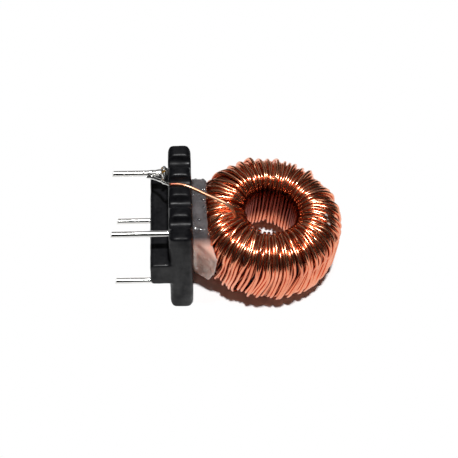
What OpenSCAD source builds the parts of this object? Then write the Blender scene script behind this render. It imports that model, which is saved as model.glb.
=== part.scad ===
// Toroidal inductor: enamelled copper wire wound on a ring core, glued to a moulded four-pin header.
// The part lies on its side. The origin is the centre of the pin footprint, on the board seat.
// The pins point along -X, and the header stands on one long edge, below the origin.

/* [Header] */
// Length of the flange, along Y
flange_l = 19.9; // [17.5:0.05:26]
// Width of the flange, along Z, which is its height as it lies
flange_w = 18.8; // [17.4:0.1:26]
// Thickness of the flange, along X
flange_t = 3.8; // [3.2:0.1:7]
// Radius along the flange's long edges
flange_edge_r = 1.1; // [0.3:0.05:1.4]
// Radius of the flange's upright edges
flange_end_r = 0.9; // [0.3:0.05:1.4]
// Width of the rail that seats on the board
rail_w = 5; // [3:0.1:8]
// Height of the rail, which holds the flange off the board
rail_h = 3.1; // [2.6:0.1:6]
// Radius along the rail's free edges
rail_edge_r = 0.6; // [0.2:0.05:1.2]
// Spacing of the wire slots, a third of the pin spacing along the flange
slot_pitch = 4.233; // [3.9:0.001:5]
// Width of a wire slot
slot_w = 2.1; // [1.4:0.05:2.6]
// Depth of a wire slot
slot_d = 1.3; // [0.8:0.1:2]
// Radius of the corners of the teeth between the slots
tooth_r = 0.55; // [0.1:0.05:0.6]

/* [Pins] */
// Diameter of a pin's leg
pin_d = 1; // [0.6:0.05:1.4]
// Diameter of a pin's root, which is pressed into the flange
pin_root_d = 1.06; // [0.66:0.02:1.46]
// Distance between the two rows of pins
row_pitch = 12.7; // [10:0.01:13.2]
// Length of a pin past the board seat
pin_out = 6.2; // [3:0.1:12]
// Depth of a pin in the flange
pin_seat = 3; // [1.5:0.1:3.1]
// Clearance round a pin in its hole
pin_fit = 0.02; // [0.01:0.01:0.05]
// Slant of a pin's sheared tip, in degrees
pin_shear = 18; // [0:1:30]

/* [Core] */
// Outside diameter of the ring core
core_od = 22.1; // [20:0.1:28]
// Inside diameter of the ring core
core_hole_d = 13.7; // [12.6:0.1:15]
// Height of the ring core
core_h = 7.9; // [6:0.1:9.5]
// Edge radius of the ring core
core_r = 1; // [0.5:0.1:1.6]

/* [Winding] */
// Diameter of the wire over its enamel
wire_d = 0.56; // [0.5:0.01:0.7]
// Clearance between the wire and what it lies on
wire_gap = 0.03; // [0.01:0.01:0.08]
// Space between neighbouring turns on the outside
turn_gap = 0.02; // [0.01:0.01:0.1]
// How far the loosest turns stand off the outside
turn_slack = 0.25; // [0:0.05:0.5]
// Radius of the winding's outer shoulder under the last layer
outer_shoulder_r = 2.4; // [1.2:0.1:2.8]
// Radius of the winding's inner shoulder under the last layer
inner_shoulder_r = 1.4; // [0.8:0.1:2]
// Where the first turn comes out of the bore, in degrees from +X
first_turn = 184; // [181:0.5:190]
// Part of the circle left free between the first and the last turn, in degrees
end_gap = 3; // [3:0.5:30]

/* [Coil placement] */
// Space between the flange and the nearest turn
coil_gap = 0.2; // [0.1:0.05:2]
// Lean of the coil on the header, with the far side down, in degrees
coil_tilt = 4.5; // [0:0.5:7]
// Offset of the coil from the middle of the header, along Y
coil_shift = 1.4; // [-2:0.1:2.5]

/* [Terminations] */
// Turns of a wire's end round its pin
wrap_turns = 1.5; // [1:0.25:2]
// Advance of one such turn along the pin
wrap_lead = 0.95; // [0.8:0.05:1]
// Distance from the board seat to the first such turn
wrap_start = 0.5; // [0.4:0.05:0.6]

/* [Adhesive] */
// Radius of the fillets in which the adhesive ends on the flange
glue_fillet_r = 1.45; // [1:0.05:1.9]
// Radius of the patch of adhesive on the flange
glue_patch_r = 7.7; // [7:0.1:9]
// Height of the adhesive's upper edge above the plane that the part lies on
glue_top = 13.6; // [11.4:0.1:14]
// Height of the adhesive's lower edge above the same plane
glue_bottom = 2.4; // [1.9:0.1:6.4]

/* [Hidden] */
$fn = 64;
// Cutters and joined solids overlap by this much
bite = 0.5;
wire_sides = 5;

// Header
flange_x = rail_h;
face_x = rail_h + flange_t;
floor_z = -flange_w / 2;
slot_floor = flange_w / 2 - slot_d;
slots = [for (k = [-1.5:1:1.5]) k * slot_pitch];
tooth_ends = concat(
    [-flange_l / 2],
    [for (y = slots) each [y - slot_w / 2, y + slot_w / 2]],
    [flange_l / 2]
);

// Pins, by their sides along Y and Z
pin_r = pin_d / 2;
root_r = pin_root_d / 2;
pin_y = 1.5 * slot_pitch;
pin_z = row_pitch / 2;
PINS = [[1, 1], [1, -1], [-1, 1], [-1, -1]];

// Lower layers of the winding, one wire thick outside and crowded towards the bore
wire_r = wire_d / 2;
lower_outside = wire_d;
lower_top = 1.35 * wire_d;
lower_bore = 1.6 * wire_d;
form_ro = core_od / 2 + wire_gap + lower_outside;
form_ri = core_hole_d / 2 - wire_gap - lower_bore;
form_z = core_h / 2 + wire_gap + lower_top;

// Centre of the last layer's wire, on a section with chamfered shoulders
lay = wire_r + wire_gap;
outer_cut = (outer_shoulder_r + lay) * tan(22.5);
inner_cut = (inner_shoulder_r + lay) * tan(22.5);
outer_r = form_ro + lay;
bore_r = form_ri - lay;
top_z = form_z + lay;
shoulder_r = form_ro - outer_shoulder_r + outer_cut;
rim_r = form_ri + inner_shoulder_r - inner_cut;
outer_wall_z = form_z - outer_shoulder_r + outer_cut;
bore_wall_z = form_z - inner_shoulder_r + inner_cut;
wound_r = outer_r + turn_slack + wire_r;

// Turns lie side by side on the outside, and ride over each other where they crowd
spacing = wire_d + turn_gap;
step = spacing / outer_r * 180 / PI;
turns = floor((360 - end_gap) / step);
function apart(r) = r * step * PI / 180;
function ride(r) = sqrt(max(0, pow(spacing, 2) - pow(apart(r), 2)));
levels = ceil(spacing / apart(bore_r - 2 * wire_d));
top_level = levels - 1;

// Coil placement, with its lowest turns on the plane that the header stands on
function drop(r, z) = r * sin(coil_tilt) + z * cos(coil_tilt) + wire_r;
coil_x = face_x + coil_gap + wound_r;
coil_z = floor_z + max(
    drop(shoulder_r, top_z + top_level * ride(shoulder_r)),
    drop(rim_r, top_z + top_level * ride(rim_r))
);
function on_coil(r, angle, z) = let (x = r * cos(angle)) [
    coil_x + x * cos(coil_tilt) + z * sin(coil_tilt),
    coil_shift + r * sin(angle),
    coil_z - x * sin(coil_tilt) + z * cos(coil_tilt)
];

// One turn, from the outer shoulder over the top, down the bore and up the outside.
// Each station is [radius, height, lean along the winding in turns].
function stand_off(i) = turn_slack * (1 + sin(i * 137.5)) / 2;
function stations(i) = let (level = i % levels) [
    [shoulder_r, top_z + level * ride(shoulder_r), 0],
    [rim_r - level * ride(bore_r) / 2, top_z + level * ride(rim_r), -0.25],
    [bore_r - level * ride(bore_r), bore_wall_z + level * ride(rim_r) / 2, -0.5],
    [bore_r - level * ride(bore_r), -bore_wall_z - level * ride(rim_r) / 2, -0.75],
    [rim_r - level * ride(bore_r) / 2, -top_z - level * ride(rim_r), -1],
    [shoulder_r, -top_z - level * ride(shoulder_r), -1],
    [outer_r + stand_off(i), -outer_wall_z, -0.8],
    [outer_r + stand_off(i), outer_wall_z, 0.8]
];
function turn(i, first, last) = [
    for (k = [first:last])
        let (s = stations(i)[k])
            on_coil(s[0], first_turn + (i + s[2]) * step, s[1])
];
coil_path = concat(
    [on_coil((shoulder_r + rim_r) / 2, first_turn, top_z + wire_r)],
    turn(0, 1, 7),
    [for (i = [1:turns - 2]) each turn(i, 0, 7)],
    turn(turns - 1, 0, 5)
);

// The wire's ends pass a slot and wrap round a pin, the first one above and the last one below
wrap_land = -115;
wrap_points = 8;
wrap_r = (root_r + lay) / cos(180 / wrap_points);
function wrap(side) = [
    for (k = [0:wrap_points * wrap_turns])
        let (a = wrap_land + k * 360 / wrap_points)
            [
                wrap_start + k * wrap_lead / wrap_points,
                pin_y + wrap_r * cos(a),
                side * (pin_z + wrap_r * sin(a))
            ]
];
function lead(side) = let (
    entry = [face_x + lay, slot_pitch / 2, side * (slot_floor + lay)],
    exit = [flange_x - lay, slot_pitch / 2, side * (slot_floor + lay)],
    bow = [-lay, 0, side * lay]
) concat([entry, exit, (exit + wrap(side)[0]) / 2 + bow], wrap(side));
function backwards(path) = [for (i = [len(path) - 1:-1:0]) path[i]];
wire_path = concat(backwards(lead(1)), coil_path, lead(-1));

// Sweep of a round section along a path, with each ring on the bend's own mitre
function unit(v) = v / norm(v);
function stretch(path, i) = unit(path[i + 1] - path[i]);
function heading(path, i) =
    i == 0 ? stretch(path, 0)
    : i == len(path) - 1 ? stretch(path, i - 1)
    : unit(stretch(path, i - 1) + stretch(path, i));
function square_to(v, t) = unit(v - (v * t) * t);
module sweep(path, r, sides) {
    last = len(path) - 1;
    headings = [for (i = [0:last]) heading(path, i)];
    across = [
        for (
            i = 0, u = square_to([0, 0, 1], headings[0]);
            i <= last;
            i = i + 1, u = square_to(u, headings[min(i, last)])
        ) u
    ];
    points = [
        for (i = [0:last], k = [0:sides - 1])
            let (a = k * 360 / sides)
                path[i] + r * (cos(a) * across[i] + sin(a) * cross(headings[i], across[i]))
    ];
    skin = [
        for (i = [0:last - 1], k = [0:sides - 1])
            let (a = i * sides + k, b = i * sides + (k + 1) % sides)
                [a, a + sides, b + sides, b]
    ];
    start_cap = [for (k = [0:sides - 1]) k];
    end_cap = [for (k = [sides - 1:-1:0]) last * sides + k];
    polyhedron(points, concat([start_cap, end_cap], skin));
}

// Flat shape between two corners, with its left and right corners rounded
module rounded(x0, x1, half, r_left, r_right) {
    translate([x0 + r_left, -half])
        square([x1 - x0 - r_left - r_right, 2 * half]);
    translate([x0, -half + r_left])
        square([r_left, 2 * half - 2 * r_left]);
    translate([x1 - r_right, -half + r_right])
        square([r_right, 2 * half - 2 * r_right]);
    for (s = [-1, 1]) {
        translate([x0 + r_left, s * (half - r_left)])
            circle(r_left);
        translate([x1 - r_right, s * (half - r_right)])
            circle(r_right);
    }
}

module along_x() {
    rotate([90, 0, 90])
        children();
}

module along_y() {
    rotate([90, 0, 0])
        children();
}

module on_pin_axis(x, side_y, side_z) {
    translate([x, side_y * pin_y, side_z * pin_z])
        rotate([0, 90, 0])
            children();
}

module place_coil() {
    translate([coil_x, coil_shift, coil_z])
        rotate([0, coil_tilt, 0])
            children();
}

// One tooth of a long edge, drawn in the flange's plane
module tooth(y0, y1) {
    r = min(tooth_r, (y1 - y0) / 3);
    translate([y0, 0])
        square([y1 - y0, flange_w / 2 - r]);
    translate([y0 + r, 0])
        square([y1 - y0 - 2 * r, flange_w / 2]);
    for (y = [y0 + r, y1 - r]) {
        translate([y, flange_w / 2 - r])
            circle(r);
    }
}

// The flange from its flat side, with round-bottomed slots in both long edges
module flange_outline() {
    root_z = slot_floor + slot_w / 2;
    difference() {
        translate([-flange_l / 2, -root_z])
            square([flange_l, 2 * root_z]);
        for (y = slots, z = [-root_z, root_z]) {
            translate([y, z])
                circle(slot_w / 2);
        }
    }
    for (s = [0, 1], k = [0:2:len(tooth_ends) - 2]) {
        mirror([0, s])
            tooth(tooth_ends[k], tooth_ends[k + 1]);
    }
}

module flange() {
    intersection() {
        translate([flange_x, 0, 0])
            along_x()
                linear_extrude(flange_t)
                    flange_outline();
        along_y()
            linear_extrude(flange_l + 2 * bite, center = true)
                rounded(flange_x, face_x, flange_w / 2, flange_edge_r, flange_edge_r);
        linear_extrude(flange_w + 2 * bite, center = true)
            rounded(flange_x, face_x, flange_l / 2, flange_end_r, flange_end_r);
    }
}

module rail() {
    along_y()
        linear_extrude(flange_l, center = true)
            difference() {
                translate([0, -rail_w / 2])
                    square([rail_h + flange_end_r, rail_w]);
                for (s = [0, 1]) {
                    mirror([0, s])
                        translate([rail_edge_r, rail_w / 2 - rail_edge_r])
                            difference() {
                                translate([-rail_edge_r - bite, 0])
                                    square(rail_edge_r + bite);
                                circle(rail_edge_r);
                            }
                }
            }
}

module header() {
    color("#1d1d20")
        difference() {
            union() {
                flange();
                rail();
            }
            for (p = PINS) {
                on_pin_axis(flange_x - bite, p[0], p[1])
                    cylinder(h = pin_seat + bite + pin_fit, r = root_r + pin_fit);
            }
        }
}

module pin(side) {
    color("#c6c9cc")
        difference() {
            union() {
                on_pin_axis(-pin_out, side[0], side[1])
                    cylinder(h = pin_out + pin_seat, r = pin_r);
                on_pin_axis(0, side[0], side[1])
                    cylinder(h = flange_x + pin_seat, r = root_r);
            }
            translate([-pin_out, side[0] * pin_y, side[1] * pin_z - pin_r])
                rotate([0, pin_shear, 0])
                    translate([-pin_d, -pin_d, -pin_d])
                        cube([pin_d, 2 * pin_d, 4 * pin_d]);
        }
}

module core() {
    color("#4b4e52")
        place_coil()
            rotate_extrude()
                rounded(core_hole_d / 2, core_od / 2, core_h / 2, core_r, core_r);
}

module lower_winding() {
    color("#8c4526")
        place_coil()
            rotate_extrude()
                difference() {
                    rounded(form_ri, form_ro, form_z, inner_shoulder_r, outer_shoulder_r);
                    rounded(
                        core_hole_d / 2 - wire_gap, core_od / 2 + wire_gap, core_h / 2 + wire_gap,
                        core_r, core_r
                    );
                }
}

module winding() {
    color("#c8754a")
        sweep(wire_path, wire_r, wire_sides);
}

// Collar of solder between the wrapped wire and the flange
module solder(side) {
    collar_x = wrap_start + wrap_turns * wrap_lead + lay;
    collar_l = flange_x - wire_gap - collar_x;
    collar_r = wrap_r + wire_r;
    color("#b9bcbf")
        on_pin_axis(collar_x, side[0], side[1])
            rotate_extrude()
                difference() {
                    translate([root_r + pin_fit, 0])
                        square([collar_r - root_r - pin_fit, collar_l]);
                    translate([collar_r, collar_l])
                        circle(min(collar_l, collar_r - root_r) * 0.6);
                }
}

// Outside of the wound coil, which the adhesive wets
module coil_outside() {
    shoulder = wire_r * tan(22.5);
    high = top_z + top_level * ride(shoulder_r) + wire_r + wire_gap;
    wall = outer_wall_z + shoulder + wire_gap;
    place_coil()
        rotate_extrude()
            polygon([
                [0, -high], [shoulder_r + shoulder + turn_slack, -high], [wound_r + wire_gap, -wall],
                [wound_r + wire_gap, wall], [shoulder_r + shoulder + turn_slack, high], [0, high]
            ]);
}

// The adhesive fills the wedge between the flange and the coil, and ends in hollow fillets
module adhesive() {
    reach = coil_gap + wound_r;
    fillet_y = sqrt(pow(wound_r + glue_fillet_r, 2) - pow(reach - glue_fillet_r, 2));
    touch_x = glue_fillet_r * (wound_r + reach) / (wound_r + glue_fillet_r);
    color("#8f8c88")
        difference() {
            intersection() {
                translate([face_x, coil_shift, floor_z + glue_bottom])
                    linear_extrude(glue_top - glue_bottom)
                        difference() {
                            translate([0, -fillet_y])
                                square([touch_x, 2 * fillet_y]);
                            for (s = [-1, 1]) {
                                translate([glue_fillet_r, s * fillet_y])
                                    circle(glue_fillet_r);
                            }
                        }
                translate([face_x, coil_shift, floor_z + (glue_top + glue_bottom) / 2])
                    along_x()
                        linear_extrude(touch_x)
                            circle(glue_patch_r);
            }
            coil_outside();
        }
}

header();
pin(PINS[0]);  // pin_1
pin(PINS[1]);  // pin_2
pin(PINS[2]);  // pin_3
pin(PINS[3]);  // pin_4
core();
lower_winding();
winding();
solder(PINS[0]);  // solder_1
solder(PINS[1]);  // solder_2
adhesive();
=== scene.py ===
"""Toroidal inductor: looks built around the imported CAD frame.

Lengths are millimetres until they are placed.
"""
import math

import bmesh
import bpy
import numpy as np
from mathutils import Matrix, Vector
from mathutils import noise as turbulence


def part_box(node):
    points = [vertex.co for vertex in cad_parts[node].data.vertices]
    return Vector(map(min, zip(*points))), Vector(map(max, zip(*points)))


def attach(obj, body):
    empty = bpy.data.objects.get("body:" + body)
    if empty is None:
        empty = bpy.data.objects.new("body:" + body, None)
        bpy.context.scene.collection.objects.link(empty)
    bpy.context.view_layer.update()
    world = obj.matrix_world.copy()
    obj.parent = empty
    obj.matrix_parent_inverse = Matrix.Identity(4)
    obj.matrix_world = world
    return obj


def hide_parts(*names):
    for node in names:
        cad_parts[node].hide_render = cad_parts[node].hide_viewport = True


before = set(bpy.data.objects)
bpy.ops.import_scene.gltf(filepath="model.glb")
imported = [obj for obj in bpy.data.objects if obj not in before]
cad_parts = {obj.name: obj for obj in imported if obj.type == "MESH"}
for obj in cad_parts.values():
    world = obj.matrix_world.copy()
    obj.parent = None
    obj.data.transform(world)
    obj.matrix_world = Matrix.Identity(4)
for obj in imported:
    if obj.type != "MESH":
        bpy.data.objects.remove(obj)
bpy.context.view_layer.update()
MM = 0.001
RNG = np.random.default_rng(7)


# Sizes of the part, as its source has them, with more slack for turns that wander

WIRE_D = 0.56
WIRE_R = WIRE_D / 2
WIRE_GAP = 0.03
TURN_GAP = 0.02
TURN_SLACK = 0.36
CORE_OD = 22.1
CORE_ID = 13.7
CORE_H = 7.9
OUTER_SHOULDER_R = 2.4
INNER_SHOULDER_R = 1.4
FIRST_TURN = 184
END_GAP = 3
COIL_TILT = math.radians(4.5)
LOWER_OUTSIDE = WIRE_D
LOWER_TOP = 1.35 * WIRE_D
LOWER_BORE = 1.6 * WIRE_D
FORM_RO = CORE_OD / 2 + WIRE_GAP + LOWER_OUTSIDE
FORM_RI = CORE_ID / 2 - WIRE_GAP - LOWER_BORE
FORM_Z = CORE_H / 2 + WIRE_GAP + LOWER_TOP
LAY = WIRE_R + WIRE_GAP


def box_mm(node):
    """Lowest and highest corner of a CAD node, in millimetres."""
    low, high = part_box(node)
    return np.array(low) / MM, np.array(high) / MM


def middle(node):
    low, high = box_mm(node)
    return (low + high) / 2


COIL_CENTRE = middle("core")
HEADER_LOW, HEADER_HIGH = box_mm("header")
FLOOR_Z = HEADER_LOW[2]
FACE_X = HEADER_HIGH[0]
PIN_1 = middle("pin_1")
PIN_2 = middle("pin_2")


# Meshes

def new_object(name, verts, faces, smooth=True):
    """Mesh object from points in millimetres."""
    mesh = bpy.data.meshes.new(name)
    mesh.from_pydata([tuple(float(c) * MM for c in v) for v in verts], [], faces)
    mesh.validate()
    if smooth:
        mesh.polygons.foreach_set("use_smooth", [True] * len(mesh.polygons))
    mesh.update()
    obj = bpy.data.objects.new(name, mesh)
    bpy.context.scene.collection.objects.link(obj)
    return obj


def unit(v):
    return v / np.maximum(np.linalg.norm(v, axis=-1, keepdims=True), 1e-12)


def tube(path, radius, sides, guide=None):
    """Points and faces of a round tube along a path. guide gives a side vector for each point."""
    path = np.asarray(path, float)
    count = len(path)
    heading = np.empty_like(path)
    heading[1:-1] = path[2:] - path[:-2]
    heading[0] = path[1] - path[0]
    heading[-1] = path[-1] - path[-2]
    heading = unit(heading)
    side = np.empty_like(path)
    if guide is None:
        u = np.array([0.0, 0.0, 1.0])
        if abs(u @ heading[0]) > 0.9:
            u = np.array([0.0, 1.0, 0.0])
        for i in range(count):
            u = unit(u - (u @ heading[i]) * heading[i])
            side[i] = u
    else:
        side = unit(guide - np.sum(guide * heading, axis=1, keepdims=True) * heading)
    up = np.cross(heading, side)
    radii = np.broadcast_to(np.asarray(radius, float), (count,))
    angle = np.arange(sides) * 2 * math.pi / sides
    ring = np.cos(angle)[None, :, None] * side[:, None, :] + np.sin(angle)[None, :, None] * up[:, None, :]
    verts = (path[:, None, :] + radii[:, None, None] * ring).reshape(-1, 3)
    faces = []
    for i in range(count - 1):
        for k in range(sides):
            a = i * sides + k
            b = i * sides + (k + 1) % sides
            faces.append((a, b, b + sides, a + sides))
    faces.append(tuple(range(sides - 1, -1, -1)))
    faces.append(tuple((count - 1) * sides + k for k in range(sides)))
    return verts, faces


def smooth_curve(points, per_span):
    """Catmull-Rom curve through points."""
    p = np.asarray(points, float)
    p = np.vstack([2 * p[0] - p[1], p, 2 * p[-1] - p[-2]])
    out = []
    for i in range(1, len(p) - 2):
        for k in range(per_span):
            t = k / per_span
            a, b, c, d = p[i - 1], p[i], p[i + 1], p[i + 2]
            out.append(0.5 * (2 * b + (c - a) * t + (2 * a - 5 * b + 4 * c - d) * t * t
                              + (3 * b - a - 3 * c + d) * t ** 3))
    out.append(p[-2])
    return np.array(out)


# Section of the winding

def section(offset, counts):
    """Stations round the wound section, at a distance over the form, from the outer shoulder over the top.

    Each row is radius, height, outward direction (radial, axial) and the share of the turn that is done.
    """
    outer = OUTER_SHOULDER_R + offset
    inner = INNER_SHOULDER_R + offset
    outer_x = FORM_RO - OUTER_SHOULDER_R
    outer_z = FORM_Z - OUTER_SHOULDER_R
    inner_x = FORM_RI + INNER_SHOULDER_R
    inner_z = FORM_Z - INNER_SHOULDER_R
    rows = []

    def arc(cx, cz, r, start, stop, n):
        for a in np.linspace(start, stop, n, endpoint=False):
            c, s = math.cos(math.radians(a)), math.sin(math.radians(a))
            rows.append((cx + r * c, cz + r * s, c, s))

    def line(x0, z0, x1, z1, nx, nz, n):
        for t in np.linspace(0, 1, n, endpoint=False):
            rows.append((x0 + (x1 - x0) * t, z0 + (z1 - z0) * t, nx, nz))

    n_arc, n_top, n_wall = counts
    arc(outer_x, outer_z, outer, 0, 90, n_arc)
    line(outer_x, outer_z + outer, inner_x, inner_z + inner, 0, 1, n_top)
    arc(inner_x, inner_z, inner, 90, 180, n_arc)
    line(inner_x - inner, inner_z, inner_x - inner, -inner_z, -1, 0, n_wall)
    arc(inner_x, -inner_z, inner, 180, 270, n_arc)
    line(inner_x, -inner_z - inner, outer_x, -outer_z - outer, 0, -1, n_top)
    arc(outer_x, -outer_z, outer, 270, 360, n_arc)
    line(outer_x + outer, -outer_z, outer_x + outer, outer_z, 1, 0, n_wall)
    rows = np.array(rows)
    gaps = np.linalg.norm(np.diff(np.vstack([rows[:, :2], rows[:1, :2]]), axis=0), axis=1)
    share = np.concatenate([[0], np.cumsum(gaps)[:-1]]) / gaps.sum()
    return np.column_stack([rows, share])


def pile(arc, order, girth, thickness):
    """Height of each wire when they are laid in that order on a form, each resting on those below it."""
    height = np.zeros(len(arc))
    laid = []
    for i in order:
        if laid:
            near = np.array(laid)
            gap = np.abs(arc[near] - arc[i])
            gap = np.minimum(gap, girth - gap)
            touch = gap < thickness
            if touch.any():
                rest = height[near[touch]] + np.sqrt(thickness ** 2 - gap[touch] ** 2)
                height[i] = rest.max()
        laid.append(i)
    return height


DRIFT_REACH = 11
KNOT_SHARES = np.array([0.0, 0.1, 0.22, 0.31, 0.4, 0.5, 0.6, 0.7, 0.8, 1.0])
KNOT_LOOSE = np.array([1.9, 1.5, 1.0, 0.9, 0.8, 0.8, 0.9, 1.0, 1.6])


def wander(count, shares, slow, fast):
    """Sideways shift of each turn at each station, in turns: a slow drift of neighbours and a fast one.

    The wire lies loosest at the two ends of the outside wall, and runs straight between them.
    """
    knots = len(KNOT_LOOSE)
    values = RNG.normal(0, fast, (count, knots))
    drift = RNG.normal(0, 1, (count, knots))
    kernel = np.hanning(DRIFT_REACH)
    kernel /= math.sqrt((kernel ** 2).sum())
    for k in range(knots):
        values[:, k] += slow * np.convolve(drift[:, k], kernel, mode="same")
    values *= KNOT_LOOSE
    out = np.empty((count, len(shares)))
    for i in range(count):
        next_turn = values[(i + 1) % count][0]
        out[i] = np.interp(shares, KNOT_SHARES, np.append(values[i], next_turn))
    return out


def eased(values, reach):
    """Values at the stations of all the turns, smoothed along the wire over a few stations."""
    kernel = np.hanning(reach + 2)
    flat = np.pad(values.reshape(-1), reach // 2, mode="edge")
    smooth = np.convolve(flat, kernel / kernel.sum(), mode="same")
    return smooth[reach // 2:-(reach // 2)].reshape(values.shape)


def on_coil(radius, angle, height):
    """Points of the coil's own frame, in the frame of the part."""
    x = radius * np.cos(angle)
    y = radius * np.sin(angle)
    c, s = math.cos(COIL_TILT), math.sin(COIL_TILT)
    return np.stack([x * c + height * s, y, -x * s + height * c], axis=-1) + COIL_CENTRE


# Painted shade: share of darker copper in the bore, by height and by radius on the coil
BORE_SHADE_HEIGHTS = [-3.0, -0.6, 3.4, 5.2]
BORE_SHADE_SHARES = [0.0, 0.95, 1.0, 0.0]
BORE_SHADE_RADII = [6.1, 7.4]
# Painted light: share of lighter copper on the crown, by height
CROWN_LIGHT_HEIGHTS = [3.6, 5.0]
CROWN_DOME = 0.55
CROWDED = 0.5
CROWN_R = 8.3
CROWN_HALF_WIDTH = 3.2
ORDER_SCATTER = 0.35
PLACE_EASE = 9
HEIGHT_EASE = 5
ROOM_FACING = [0.2, 0.95]
LEAN_SHARES = [0.0, 0.17, 0.27, 0.43, 0.53, 0.72, 0.8, 0.87, 0.94, 1.0]
LEAN_TURNS = [0.1, -0.2, -0.5, -0.75, -1.0, -1.3, -1.2, -0.1, 0.75, 1.1]


def wound_turns(turns, offset, counts, slow, fast, levels):
    """Path, outward direction, and shares of painted shade in the bore and painted light on the crown, of
    one layer's turns as one wire.
    """
    rows = section(offset, counts)
    step = 2 * math.pi * (360 - END_GAP) / 360 / turns
    shares = rows[:, 4]
    lean = np.interp(shares, LEAN_SHARES, LEAN_TURNS)
    shift = wander(turns, shares, slow, fast)
    key = np.arange(turns) % levels + RNG.normal(0, ORDER_SCATTER, turns)
    order = np.argsort(key)
    place = np.arange(turns)[:, None] + lean[None, :] + shift
    angle = math.radians(FIRST_TURN) + eased(place, PLACE_EASE) * step
    height = np.empty_like(angle)
    for k, row in enumerate(rows):
        depth = row[0] + row[2] * WIRE_R
        height[:, k] = pile(angle[:, k] * depth, order, 2 * math.pi * depth, WIRE_D)
    height = eased(height, HEIGHT_EASE)
    room = np.interp(rows[:, 2], ROOM_FACING, [2 * WIRE_D, TURN_SLACK])
    height = np.minimum(height, room[None, :])
    near_ends = np.maximum(0, -np.cos(angle)) ** 2
    height += CROWDED * near_ends * np.maximum(0, -rows[None, :, 2])
    crown = np.maximum(0, 1 - ((rows[:, 0] - CROWN_R) / CROWN_HALF_WIDTH) ** 2) * (rows[:, 1] > 0)
    rows[:, 1] += CROWN_DOME * crown
    radius = rows[None, :, 0] + height * rows[None, :, 2]
    z = rows[None, :, 1] + height * rows[None, :, 3]
    path = on_coil(radius, angle, z).reshape(-1, 3)
    # Painted shade in the bore and painted light on the crown, as shares at each point of the wire
    bore = np.interp(z, BORE_SHADE_HEIGHTS, BORE_SHADE_SHARES) * np.interp(radius, BORE_SHADE_RADII, [1.0, 0.0])
    top = np.interp(z, CROWN_LIGHT_HEIGHTS, [0.0, 1.0])
    shades = {"bore": bore.reshape(-1), "crown": top.reshape(-1)}
    out_r = np.broadcast_to(rows[None, :, 2], angle.shape)
    out_z = np.broadcast_to(rows[None, :, 3], angle.shape)
    guide = on_coil(out_r, angle, out_z) - COIL_CENTRE
    return path, guide.reshape(-1, 3), shades


# Materials

def material(name, base, metallic=0.0, roughness=0.5, **sockets):
    """Principled material. Extra sockets are given by name, with spaces as underscores."""
    mat = bpy.data.materials.new(name)
    mat.use_nodes = True
    bsdf = mat.node_tree.nodes["Principled BSDF"]
    bsdf.inputs["Base Color"].default_value = (*base, 1.0)
    bsdf.inputs["Metallic"].default_value = metallic
    bsdf.inputs["Roughness"].default_value = roughness
    for key, value in sockets.items():
        bsdf.inputs[key.replace("_", " ")].default_value = value
    return mat, bsdf


def noise(mat, scale, detail=3.0, roughness=0.55, stretch=(1, 1, 1)):
    """Noise over the object's own place, with scale in features per metre."""
    tree = mat.node_tree
    coords = tree.nodes.new("ShaderNodeTexCoord")
    mapping = tree.nodes.new("ShaderNodeMapping")
    mapping.inputs["Scale"].default_value = stretch
    texture = tree.nodes.new("ShaderNodeTexNoise")
    texture.inputs["Scale"].default_value = scale
    texture.inputs["Detail"].default_value = detail
    texture.inputs["Roughness"].default_value = roughness
    tree.links.new(coords.outputs["Object"], mapping.inputs["Vector"])
    tree.links.new(mapping.outputs["Vector"], texture.inputs["Vector"])
    return texture.outputs["Fac"]


def ramp(mat, factor, stops):
    """Colour ramp over a factor. Each stop is a place and a colour."""
    node = mat.node_tree.nodes.new("ShaderNodeValToRGB")
    elements = node.color_ramp.elements
    while len(elements) < len(stops):
        elements.new(0.5)
    for element, (place, colour) in zip(elements, stops):
        element.position = place
        element.color = (*colour, 1.0)
    mat.node_tree.links.new(factor, node.inputs["Fac"])
    return node.outputs["Color"]


NOISE_LOW = 0.3
NOISE_HIGH = 0.7


def spread(mat, factor, low, high):
    """The usual span of a noise factor mapped to a range of values."""
    node = mat.node_tree.nodes.new("ShaderNodeMapRange")
    node.inputs["From Min"].default_value = NOISE_LOW
    node.inputs["From Max"].default_value = NOISE_HIGH
    node.inputs["To Min"].default_value = low
    node.inputs["To Max"].default_value = high
    mat.node_tree.links.new(factor, node.inputs["Value"])
    return node.outputs["Result"]


def bump(mat, bsdf, factor, strength, distance):
    node = mat.node_tree.nodes.new("ShaderNodeBump")
    node.inputs["Strength"].default_value = strength
    node.inputs["Distance"].default_value = distance
    mat.node_tree.links.new(factor, node.inputs["Height"])
    mat.node_tree.links.new(node.outputs["Normal"], bsdf.inputs["Normal"])


# Painted shade for the bore and painted light for the crown, mixed over the copper
BORE_PAINTED_SHADE = (0.19, 0.022, 0.009)
CROWN_PAINTED_LIGHT = (0.97, 0.405, 0.228)


def copper(name, dark, mid, light, smooth=0.18, dull=0.29):
    """Enamelled copper, with its colour and its roughness drifting along the wire, and with painted light on
    the crown and painted shade in the bore mixed in by attribute.
    """
    mat, bsdf = material(name, mid, metallic=1.0, roughness=dull, Coat_Weight=0.12, Coat_Roughness=0.12)
    drift = noise(mat, 260, 2)
    colour = ramp(mat, drift, [(0.32, dark), (0.5, mid), (0.68, light)])
    # Mix in painted light on the crown and painted shade in the bore
    for attribute, other in (("crown", CROWN_PAINTED_LIGHT), ("bore", BORE_PAINTED_SHADE)):
        share = mat.node_tree.nodes.new("ShaderNodeAttribute")
        share.attribute_name = attribute
        shade = mat.node_tree.nodes.new("ShaderNodeMixRGB")
        shade.inputs["Color2"].default_value = (*other, 1.0)
        mat.node_tree.links.new(share.outputs["Fac"], shade.inputs["Fac"])
        mat.node_tree.links.new(colour, shade.inputs["Color1"])
        colour = shade.outputs["Color"]
    mat.node_tree.links.new(colour, bsdf.inputs["Base Color"])
    rough = spread(mat, noise(mat, 900, 3), smooth, dull)
    mat.node_tree.links.new(rough, bsdf.inputs["Roughness"])
    bump(mat, bsdf, noise(mat, 2600, 2), 0.12, 0.00004)
    return mat


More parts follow.
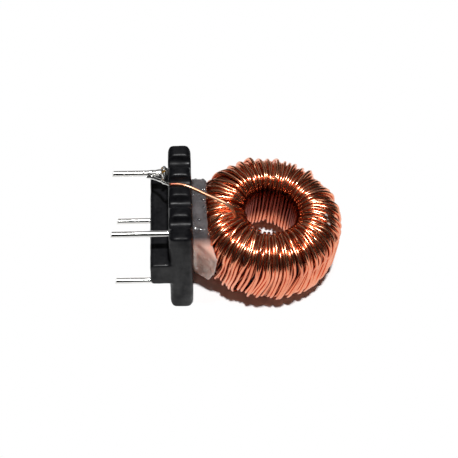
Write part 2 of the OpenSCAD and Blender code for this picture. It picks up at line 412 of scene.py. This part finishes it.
COPPER = copper("enamelled copper", (0.76, 0.24, 0.13), (0.88, 0.32, 0.18), (0.94, 0.40, 0.25))
# The leads' copper is a lighter copy of the winding's copper: painted light, with a rougher finish
COPPER_LEAD_PAINTED_LIGHT = copper("lead copper painted lighter", (0.74, 0.33, 0.19), (0.84, 0.42, 0.25), (0.9, 0.5, 0.32), 0.36, 0.5)
# Darker copy of the copper: painted shade on the under layer between the top turns
COPPER_SHADED = copper("copper under layer", (0.34, 0.10, 0.05), (0.42, 0.13, 0.06), (0.50, 0.17, 0.08))


def black_plastic():
    mat, bsdf = material("black moulding", (0.006, 0.006, 0.007), roughness=0.4, Specular_IOR_Level=0.15)
    grain = noise(mat, 1500, 4)
    colour = ramp(mat, grain, [(0.35, (0.004, 0.004, 0.005)), (0.65, (0.009, 0.009, 0.0105))])
    mat.node_tree.links.new(colour, bsdf.inputs["Base Color"])
    rough = spread(mat, noise(mat, 420, 4), 0.26, 0.54)
    mat.node_tree.links.new(rough, bsdf.inputs["Roughness"])
    gloss = spread(mat, noise(mat, 260, 4, stretch=(2.0, 1.0, 0.5)), 0.07, 0.24)
    mat.node_tree.links.new(gloss, bsdf.inputs["Specular IOR Level"])
    bump(mat, bsdf, noise(mat, 5200, 3), 0.2, 0.00003)
    return mat


def tinned(name, roughness):
    """Tinned metal, streaked along the pins."""
    mat, bsdf = material(name, (0.80, 0.80, 0.78), metallic=1.0, roughness=roughness)
    streak = noise(mat, 420, 3, stretch=(0.25, 2.0, 2.0))
    colour = ramp(mat, streak, [(0.3, (0.66, 0.65, 0.62)), (0.6, (0.84, 0.84, 0.82))])
    mat.node_tree.links.new(colour, bsdf.inputs["Base Color"])
    rough = spread(mat, noise(mat, 1300, 3), roughness * 0.7, roughness * 1.4)
    mat.node_tree.links.new(rough, bsdf.inputs["Roughness"])
    bump(mat, bsdf, noise(mat, 1800, 3), 0.25, 0.00004)
    return mat


# Painted light: the pink of the copper seen through the adhesive fades along this slant into the grey
PINK_SLANT = (0.0, 1.0, 0.45)
PINK_END = -5.1
GREY_START = -3.4


def adhesive_material():
    """Set hot-melt: grey and cloudy. The pink at the near end is painted light: the copper seen through the
    adhesive.
    """
    mat, bsdf = material(
        "set adhesive", (0.2, 0.2, 0.2), roughness=0.16, IOR=1.48, Transmission_Weight=0.12,
        Subsurface_Weight=0.8, Subsurface_Radius=(1.0, 0.8, 0.7), Subsurface_Scale=0.0012,
    )
    tree = mat.node_tree
    coords = tree.nodes.new("ShaderNodeTexCoord")
    slant = tree.nodes.new("ShaderNodeVectorMath")
    slant.operation = "DOT_PRODUCT"
    slant.inputs[1].default_value = PINK_SLANT
    tree.links.new(coords.outputs["Object"], slant.inputs[0])
    along = tree.nodes.new("ShaderNodeMapRange")
    along.inputs["From Min"].default_value = PINK_END * MM
    along.inputs["From Max"].default_value = GREY_START * MM
    tree.links.new(slant.outputs["Value"], along.inputs["Value"])
    cloud = noise(mat, 420, 4)
    grey = ramp(mat, cloud, [(0.3, (0.07, 0.063, 0.066)), (0.7, (0.18, 0.165, 0.17))])
    # Painted light: copper seen through the adhesive
    pink = ramp(mat, cloud, [(0.3, (0.9, 0.5, 0.4)), (0.7, (0.96, 0.66, 0.57))])
    mix = tree.nodes.new("ShaderNodeMixRGB")
    tree.links.new(along.outputs["Result"], mix.inputs["Fac"])
    tree.links.new(pink, mix.inputs["Color1"])
    tree.links.new(grey, mix.inputs["Color2"])
    tree.links.new(mix.outputs["Color"], bsdf.inputs["Base Color"])
    bump(mat, bsdf, noise(mat, 1100, 2), 0.9, 0.0002)
    return mat


def ferrite():
    mat, bsdf = material("ferrite", (0.05, 0.05, 0.055), roughness=0.7)
    colour = ramp(mat, noise(mat, 2000, 4), [(0.3, (0.04, 0.04, 0.045)), (0.7, (0.07, 0.07, 0.075))])
    mat.node_tree.links.new(colour, bsdf.inputs["Base Color"])
    return mat


BLACK = black_plastic()
TINNED = tinned("tinned pin", 0.2)
SOLDER = tinned("solder", 0.3)
ADHESIVE = adhesive_material()
FERRITE = ferrite()
SPECK, _ = material("dried adhesive", (0.5, 0.48, 0.45), roughness=0.25)
FLUX, _ = material("flux", (0.30, 0.16, 0.035), roughness=0.12, Transmission_Weight=0.3)


def dress(piece, mat, slot_name, *nodes):
    """Give a new piece its finish, its body and the CAD nodes that it stands for."""
    piece.data.materials.clear()
    piece.data.materials.append(mat)
    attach(piece, "root")
    if nodes:
        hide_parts(*nodes)


def finish_node(node, mat):
    """Give a CAD node that stays its finish."""
    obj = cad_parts[node]
    for slot in obj.material_slots:
        slot.material = mat
    if not obj.material_slots:
        obj.data.materials.append(mat)


# The coil

def paint(piece, name, share):
    """Share of a painted copper colour, standing in for light and shade, at each point of a wire."""
    piece.data.attributes.new(name, "FLOAT", "POINT").data.foreach_set("value", share)


def layer_piece(name, turns, offset, counts, slow, fast, levels, sides):
    path, guide, shades = wound_turns(turns, offset, counts, slow, fast, levels)
    verts, faces = tube(path, WIRE_R, sides, guide)
    layer = new_object(name, verts, faces)
    for shade, share in shades.items():
        paint(layer, shade, np.repeat(share, sides))
    return layer


STEP_DEG = math.degrees((WIRE_D + TURN_GAP) / (FORM_RO + LAY))
TURNS = math.floor((360 - END_GAP) / STEP_DEG)
LAST_SINK = 0.1
UNDER_TURNS = 112
UNDER_SINK = 1.08 * WIRE_D
last_layer = layer_piece(
    "last_layer", TURNS, LAY - LAST_SINK, counts=(8, 5, 9), slow=0.32, fast=0.26, levels=3, sides=8
)
dress(last_layer, COPPER, "copper_wire", "winding")
under_layer = layer_piece(
    "under_layer", UNDER_TURNS, LAY - UNDER_SINK, counts=(6, 3, 7), slow=0.2, fast=0.12, levels=2, sides=6
)
dress(under_layer, COPPER_SHADED, "copper_shaded", "lower_winding")
finish_node("core", FERRITE)


# The wire's two ends

LEAD_SIDES = 12
LEAD_STEPS = 8
TAIL_STEPS = 4
# Painted shade where the lead lies in the slot: share of the darker copper, by x
SLOT_SHADE_X = [4.2, 5.0]
SLOT_SHADE_SHARES = [0.85, 0.0]
LEAD_COIL = [
    (13.95, -1.3, 3.6), (13.85, -1.25, 4.5), (13.65, -1.17, 5.3), (13.2, -0.98, 6.0),
    (12.43, -0.65, 6.6),
]
LEAD_OVER = [(11.2, -0.15, 7.0), (9.41, 0.45, 7.55), (7.61, 1.18, 8.08)]
LEAD_SLOT = [(6.0, 1.76, 8.42), (4.72, 2.13, 8.42), (3.4, 2.12, 8.42)]
LEAD_TAIL = [(2.6, 2.9, 7.85), (1.8, 4.2, 7.05), (1.0, 5.0, 6.6), (0.2, 5.6, 6.2), (-0.4, 5.85, 5.95)]


def mirrored(points, side):
    return [(x, y, side * z) for x, y, z in points]


start_run = smooth_curve(LEAD_COIL + LEAD_OVER + LEAD_SLOT, LEAD_STEPS)
start_lead = new_object("start_lead", *tube(start_run, WIRE_R, LEAD_SIDES))
# Painted shade on the lead in the slot, carried by the same attribute as the bore's painted shade
slot_shade = np.interp(start_run[:, 0], SLOT_SHADE_X, SLOT_SHADE_SHARES)
paint(start_lead, "bore", np.repeat(slot_shade, LEAD_SIDES))
dress(start_lead, COPPER_LEAD_PAINTED_LIGHT, "copper_wire")
# With a shadow, the lead would draw a dark line over the adhesive
start_lead.visible_shadow = False
start_end = smooth_curve([LEAD_SLOT[-1]] + LEAD_TAIL, TAIL_STEPS)

FINISH_COIL = [(9.6, 3.6, -6.9), (8.6, 3.1, -7.5)]
finish_run = smooth_curve(FINISH_COIL + mirrored(LEAD_SLOT, -1), LEAD_STEPS)
finish_lead = new_object("finish_lead", *tube(finish_run, WIRE_R, LEAD_SIDES))
dress(finish_lead, COPPER_LEAD_PAINTED_LIGHT, "copper_wire")
finish_end = smooth_curve(mirrored([LEAD_SLOT[-1]] + LEAD_TAIL, -1), TAIL_STEPS)


# Adhesive and solder: forms that have run together

def ball(centre, radius):
    """Points and faces of a small ball."""
    shape = bmesh.new()
    bmesh.ops.create_icosphere(shape, subdivisions=2, radius=radius)
    verts = [np.array(v.co) + np.array(centre) for v in shape.verts]
    faces = [tuple(v.index for v in f.verts) for f in shape.faces]
    shape.free()
    return verts, faces


def cad_shape(node):
    """Points and faces of a CAD node, in millimetres."""
    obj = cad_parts[node]
    verts = [np.array(obj.matrix_world @ v.co) / MM for v in obj.data.vertices]
    faces = [tuple(f.vertices) for f in obj.data.polygons]
    return verts, faces


def joined(shapes):
    verts = []
    faces = []
    for part_verts, part_faces in shapes:
        start = len(verts)
        verts.extend(part_verts)
        faces.extend(tuple(start + k for k in face) for face in part_faces)
    return verts, faces


def melted(name, shapes, voxel, rounds, lump, lump_size):
    """One skin round all the shapes, smoothed and made uneven, with lumps of a height and a pitch."""
    obj = new_object(name, *joined(shapes))
    remesh = obj.modifiers.new("remesh", "REMESH")
    remesh.mode = "VOXEL"
    remesh.voxel_size = voxel * MM
    bpy.context.view_layer.update()
    evaluated = obj.evaluated_get(bpy.context.evaluated_depsgraph_get())
    mesh = bpy.data.meshes.new_from_object(evaluated)
    obj.modifiers.clear()
    obj.data = mesh
    work = bmesh.new()
    work.from_mesh(mesh)
    for _ in range(rounds):
        bmesh.ops.smooth_vert(
            work, verts=work.verts, factor=0.5, use_axis_x=True, use_axis_y=True, use_axis_z=True
        )
    work.normal_update()
    for v in work.verts:
        v.co += v.normal * (lump * MM * turbulence.noise(v.co / (lump_size * MM)))
    work.to_mesh(mesh)
    work.free()
    mesh.polygons.foreach_set("use_smooth", [True] * len(mesh.polygons))
    mesh.update()
    return obj


# The header, with the softened edges of a moulding. The pins keep their CAD form

header_body = melted("header_body", [cad_shape("header")], voxel=0.16, rounds=9, lump=0.03, lump_size=1.2)
dress(header_body, BLACK, "black_plastic", "header")
for number in range(1, 5):
    finish_node(f"pin_{number}", TINNED)


# Where the adhesive has climbed the coil: radius and height on the coil, and size of the lump
CLIMB = [
    (11.7, 3.9, 0.6), (12.0, 2.6, 0.9), (12.0, 0.6, 0.95), (12.0, -1.8, 0.95), (11.9, -3.6, 0.85),
]
CLIMB_ANGLES = range(154, 207, 4)
CLIMB_SCATTER_R = 0.12
CLIMB_SCATTER_DEG = 1
CLIMB_SCATTER_Z = 0.2
CLIMB_SIZES = (0.9, 1.1)
# Corners of the sheet that closes the near end: on the flange, and on the coil by radius, angle and height
SHEET_FLANGE = [(-2.0, 4.2), (-4.6, 3.2), (-5.6, -1.5), (-5.0, -6.0), (-2.0, -6.5)]
SHEET_COIL = [
    (11.4, 200, 4.8), (12.6, 213, 4.0), (12.8, 227, 2.6), (12.8, 226, -1.0), (12.7, 221, -4.4),
    (12.0, 205, -4.7),
]


def hull(points):
    """Points and faces of the convex solid round some points."""
    shape = bmesh.new()
    for point in points:
        shape.verts.new([float(c) for c in point])
    result = bmesh.ops.convex_hull(shape, input=shape.verts)
    bmesh.ops.delete(shape, geom=result["geom_interior"], context="VERTS")
    shape.verts.index_update()
    verts = [np.array(v.co) for v in shape.verts]
    faces = [tuple(v.index for v in f.verts) for f in shape.faces]
    shape.free()
    return verts, faces


def adhesive_shapes():
    shapes = [cad_shape("adhesive")]
    for angle in CLIMB_ANGLES:
        for radius, height, size in CLIMB:
            place = on_coil(
                radius + RNG.uniform(-CLIMB_SCATTER_R, CLIMB_SCATTER_R),
                math.radians(angle + RNG.uniform(-CLIMB_SCATTER_DEG, CLIMB_SCATTER_DEG)),
                height + RNG.uniform(-CLIMB_SCATTER_Z, CLIMB_SCATTER_Z),
            )
            shapes.append(ball(place, size * RNG.uniform(*CLIMB_SIZES)))
    corners = [(FACE_X, y, z) for y, z in SHEET_FLANGE]
    corners += [on_coil(radius, math.radians(angle), height) for radius, angle, height in SHEET_COIL]
    shapes.append(hull(corners))
    return shapes


adhesive_skin = melted("adhesive_fillet", adhesive_shapes(), voxel=0.18, rounds=14, lump=0.14, lump_size=1.3)
dress(adhesive_skin, ADHESIVE, "adhesive", "adhesive")


CONE_ENDS = (-0.3, 2.4)
CONE_RADII = (0.5, 0.72)
CONE_POINTS = 10
CONE_SIDES = 20
TAIL_SIDES = 10


def joint_shapes(node, pin, tail):
    """Solder of one joint: the wire's end, the collar over its wrap and the cone that ran along the pin."""
    near, far = CONE_ENDS
    cone = np.linspace([near, pin[1], pin[2]], [far, pin[1], pin[2]], CONE_POINTS)
    cone_skin = tube(cone, np.linspace(*CONE_RADII, CONE_POINTS), CONE_SIDES)
    return [cad_shape(node), tube(tail, WIRE_R, TAIL_SIDES), cone_skin]


for node, pin, tail in (("solder_1", PIN_1, start_end), ("solder_2", PIN_2, finish_end)):
    shapes = joint_shapes(node, pin, tail)
    joint = melted(node + "_joint", shapes, voxel=0.08, rounds=4, lump=0.06, lump_size=0.5)
    dress(joint, SOLDER, "solder", node)


# Amber flux that has run out at the roots of the wired pins

FLUX_DROPS = 12
FLUX_OUT = (0.8, 1.15)
FLUX_X = (2.15, 2.55)
DROP_R = (0.2, 0.36)
for node, pin in (("flux_1", PIN_1), ("flux_2", PIN_2)):
    side = math.copysign(1, pin[2])
    drops = []
    for k in range(FLUX_DROPS):
        a = math.radians(RNG.uniform(0, 360))
        out = RNG.uniform(*FLUX_OUT)
        place = (RNG.uniform(*FLUX_X), pin[1] + out * math.cos(a), pin[2] + side * out * math.sin(a))
        drops.append(ball(place, RNG.uniform(*DROP_R)))
    flux = melted(node, drops, voxel=0.07, rounds=2, lump=0.04, lump_size=0.4)
    dress(flux, FLUX, "adhesive")


# Specks of adhesive on the far shoulder of the coil

SPECKS = 9
SPECK_RISE = 90
SPECK_FALL = 12
SPECK_SCATTER = 2
SPECK_ANGLE = -9
SPECK_SPREAD = 11
SPECK_LIFT = 0.38
SPECK_REACH = OUTER_SHOULDER_R + LAY + WIRE_R + SPECK_LIFT
specks = []
for k in range(SPECKS):
    along = RNG.uniform(0, 1)
    scatter = RNG.uniform(-SPECK_SCATTER, SPECK_SCATTER)
    rise = math.radians(SPECK_RISE - SPECK_FALL * along + scatter)
    place = on_coil(
        FORM_RO - OUTER_SHOULDER_R + SPECK_REACH * math.cos(rise),
        math.radians(SPECK_ANGLE - SPECK_SPREAD * along),
        FORM_Z - OUTER_SHOULDER_R + SPECK_REACH * math.sin(rise),
    )
    specks.append(ball(place, RNG.uniform(*DROP_R)))
speck_piece = melted("adhesive_specks", specks, voxel=0.07, rounds=2, lump=0.05, lump_size=0.3)
dress(speck_piece, SPECK, "adhesive")


# Bubbles that have set in the adhesive's upper side, and catch the light

BUBBLES = 34
BUBBLE_R = 0.38
BUBBLE_SINK = 0.2
BUBBLE_FACING = 0.3
BUBBLE_Y = -3.5
BUBBLE, _ = material(
    "bubble in adhesive", (0.1, 0.09, 0.095), roughness=0.1, Specular_IOR_Level=1.0,
    Coat_Weight=1.0, Coat_IOR=2.2, Coat_Roughness=0.06,
)


def bubbles(skin):
    """Points and faces of caps that stand a little out of a skin's upper side."""
    upper = [v for v in skin.data.vertices if v.normal.z > BUBBLE_FACING and v.co.y > BUBBLE_Y * MM]
    shapes = []
    for k in RNG.choice(len(upper), BUBBLES, replace=False):
        centre = upper[k].co / MM - upper[k].normal * BUBBLE_SINK
        shapes.append(ball(centre, BUBBLE_R))
    return joined(shapes)


bubble_piece = new_object("adhesive_bubbles", *bubbles(adhesive_skin))
dress(bubble_piece, BUBBLE, "adhesive")


# Floor, light and camera

TABLE_R = 68
TABLE_SIDES = 96
TABLE_WHITE = (0.9, 0.9, 0.9)
TABLE_X = 13
TABLE_Y = -7
SHADOW_X = -0.45
SHADOW_Y = 1.1
SHADOW_R = 13.1
SHADOW_FADE = 0.5
GLUE_SHADOW = (9.0, -3.0)
GLUE_SHADOW_R = 6.0
DARK_WALL_R = 350
DARK_WALL_TOP = 2400
DARK_WALL_SIDES = 48
DARK_GLOW = 0.02
CARD_GLOW = 0.3
CARD_SIDES = 2
FILL = 0.03
LAMP_ENERGY = 3.3
LAMP_SPREAD_DEG = 5
LAMP_TILT_DEG = (7, 3)


def combined(tree, operation, first, second):
    node = tree.nodes.new("ShaderNodeMath")
    node.operation = operation
    tree.links.new(first, node.inputs[0])
    tree.links.new(second, node.inputs[1])
    return node.outputs["Value"]


def looking_rays(tree):
    """1 for rays that show the background: straight ones, mirrored ones and those through clear stuff."""
    rays = tree.nodes.new("ShaderNodeLightPath")
    total = rays.outputs["Is Camera Ray"]
    for kind in ("Is Glossy Ray", "Is Transmission Ray"):
        total = combined(tree, "MAXIMUM", total, rays.outputs[kind])
    return total


def outside(tree, centre, radius, fade):
    """0 inside a circle on the table and 1 outside it."""
    coords = tree.nodes.new("ShaderNodeTexCoord")
    distance = tree.nodes.new("ShaderNodeVectorMath")
    distance.operation = "DISTANCE"
    distance.inputs[1].default_value = centre * MM
    tree.links.new(coords.outputs["Object"], distance.inputs[0])
    away = tree.nodes.new("ShaderNodeMapRange")
    away.inputs["From Min"].default_value = radius * MM
    away.inputs["From Max"].default_value = (radius + fade) * MM
    tree.links.new(distance.outputs["Value"], away.inputs["Value"])
    return away.outputs["Result"]


def floor_piece():
    """White table. Away from the coil and the adhesive it shows as plain white, as if cut out."""
    turns = [2 * math.pi * k / TABLE_SIDES for k in range(TABLE_SIDES)]
    rim = [(TABLE_X + TABLE_R * math.cos(a), TABLE_Y + TABLE_R * math.sin(a), FLOOR_Z) for a in turns]
    floor = new_object("floor", rim, [tuple(range(TABLE_SIDES))], smooth=False)
    mat, bsdf = material("white table", TABLE_WHITE, roughness=0.9, Specular_IOR_Level=0.1)
    tree = mat.node_tree
    under_coil = Vector((COIL_CENTRE[0] + SHADOW_X, COIL_CENTRE[1] + SHADOW_Y, FLOOR_Z))
    clear_of_coil = outside(tree, under_coil, SHADOW_R, SHADOW_FADE)
    clear_of_glue = outside(tree, Vector((*GLUE_SHADOW, FLOOR_Z)), GLUE_SHADOW_R, SHADOW_FADE)
    away = combined(tree, "MULTIPLY", clear_of_coil, clear_of_glue)
    seen = combined(tree, "MULTIPLY", away, looking_rays(tree))
    plain = tree.nodes.new("ShaderNodeEmission")
    plain.inputs["Color"].default_value = (1.0, 1.0, 1.0, 1.0)
    plain.inputs["Strength"].default_value = 1.0
    mix = tree.nodes.new("ShaderNodeMixShader")
    tree.links.new(seen, mix.inputs["Fac"])
    tree.links.new(bsdf.outputs["BSDF"], mix.inputs[1])
    tree.links.new(plain.outputs["Emission"], mix.inputs[2])
    tree.links.new(mix.outputs["Shader"], tree.nodes["Material Output"].inputs["Surface"])
    floor.data.materials.append(mat)


def dark_wall():
    """Dark flags round the set with a grey card behind the part. Only reflections see them."""
    sides = DARK_WALL_SIDES
    verts = []
    for z in (-DARK_WALL_TOP, DARK_WALL_TOP):
        for k in range(sides):
            a = 2 * math.pi * k / sides
            verts.append((DARK_WALL_R * math.cos(a), DARK_WALL_R * math.sin(a), z))
    faces = [(k, (k + 1) % sides, sides + (k + 1) % sides, sides + k) for k in range(sides)]
    wall = new_object("dark_wall", verts, faces)
    for name, glow in (("dark flag", DARK_GLOW), ("grey card", CARD_GLOW)):
        mat, bsdf = material(name, (0.0, 0.0, 0.0), roughness=1.0, Specular_IOR_Level=0.0)
        bsdf.inputs["Emission Color"].default_value = (1.0, 1.0, 1.0, 1.0)
        bsdf.inputs["Emission Strength"].default_value = glow
        wall.data.materials.append(mat)
    behind = range(sides // 4 - CARD_SIDES, sides // 4 + CARD_SIDES)
    for k in behind:
        wall.data.polygons[k].material_index = 1
    wall.visible_camera = False
    wall.visible_diffuse = False
    wall.visible_shadow = False


def world_light():
    """Dim fill light. The camera and clear or shiny stuff see plain white past the table's edge."""
    world = bpy.data.worlds.new("studio")
    bpy.context.scene.world = world
    world.use_nodes = True
    tree = world.node_tree
    fill = tree.nodes["Background"]
    fill.inputs["Color"].default_value = (1.0, 1.0, 1.0, 1.0)
    fill.inputs["Strength"].default_value = FILL
    plain = tree.nodes.new("ShaderNodeBackground")
    plain.inputs["Color"].default_value = (1.0, 1.0, 1.0, 1.0)
    plain.inputs["Strength"].default_value = 1.0
    mix = tree.nodes.new("ShaderNodeMixShader")
    tree.links.new(looking_rays(tree), mix.inputs["Fac"])
    tree.links.new(fill.outputs["Background"], mix.inputs[1])
    tree.links.new(plain.outputs["Background"], mix.inputs[2])
    tree.links.new(mix.outputs["Shader"], tree.nodes["World Output"].inputs["Surface"])


def overhead_lamp():
    """Sun lamp that stands almost straight above."""
    lamp = bpy.data.lights.new("overhead softbox", "SUN")
    lamp.energy = LAMP_ENERGY
    lamp.angle = math.radians(LAMP_SPREAD_DEG)
    obj = bpy.data.objects.new("overhead softbox", lamp)
    obj.rotation_euler = (*(math.radians(tilt) for tilt in LAMP_TILT_DEG), 0)
    bpy.context.scene.collection.objects.link(obj)


def photo_camera():
    """Camera at the photograph's viewing angle. Its distance is in metres."""
    elevation = math.radians(52.15)
    azimuth = math.radians(3.86)
    roll = math.radians(-1.89)
    aim = Vector((13.1, 0.0, -0.95)) * MM
    distance = 0.1848
    data = bpy.data.cameras.new("camera")
    data.sensor_width = 36
    data.lens = 86.46
    data.clip_start = 0.01
    camera = bpy.data.objects.new("camera", data)
    level = math.cos(elevation)
    offset = Vector((-math.sin(azimuth) * level, -math.cos(azimuth) * level, math.sin(elevation))) * distance
    turn = (-offset).to_track_quat("-Z", "Y").to_matrix().to_4x4() @ Matrix.Rotation(-roll, 4, "Z")
    camera.matrix_world = Matrix.Translation(aim + offset) @ turn
    bpy.context.scene.collection.objects.link(camera)
    bpy.context.scene.camera = camera


floor_piece()
dark_wall()
world_light()
overhead_lamp()
photo_camera()
bpy.context.scene.view_settings.view_transform = "Standard"
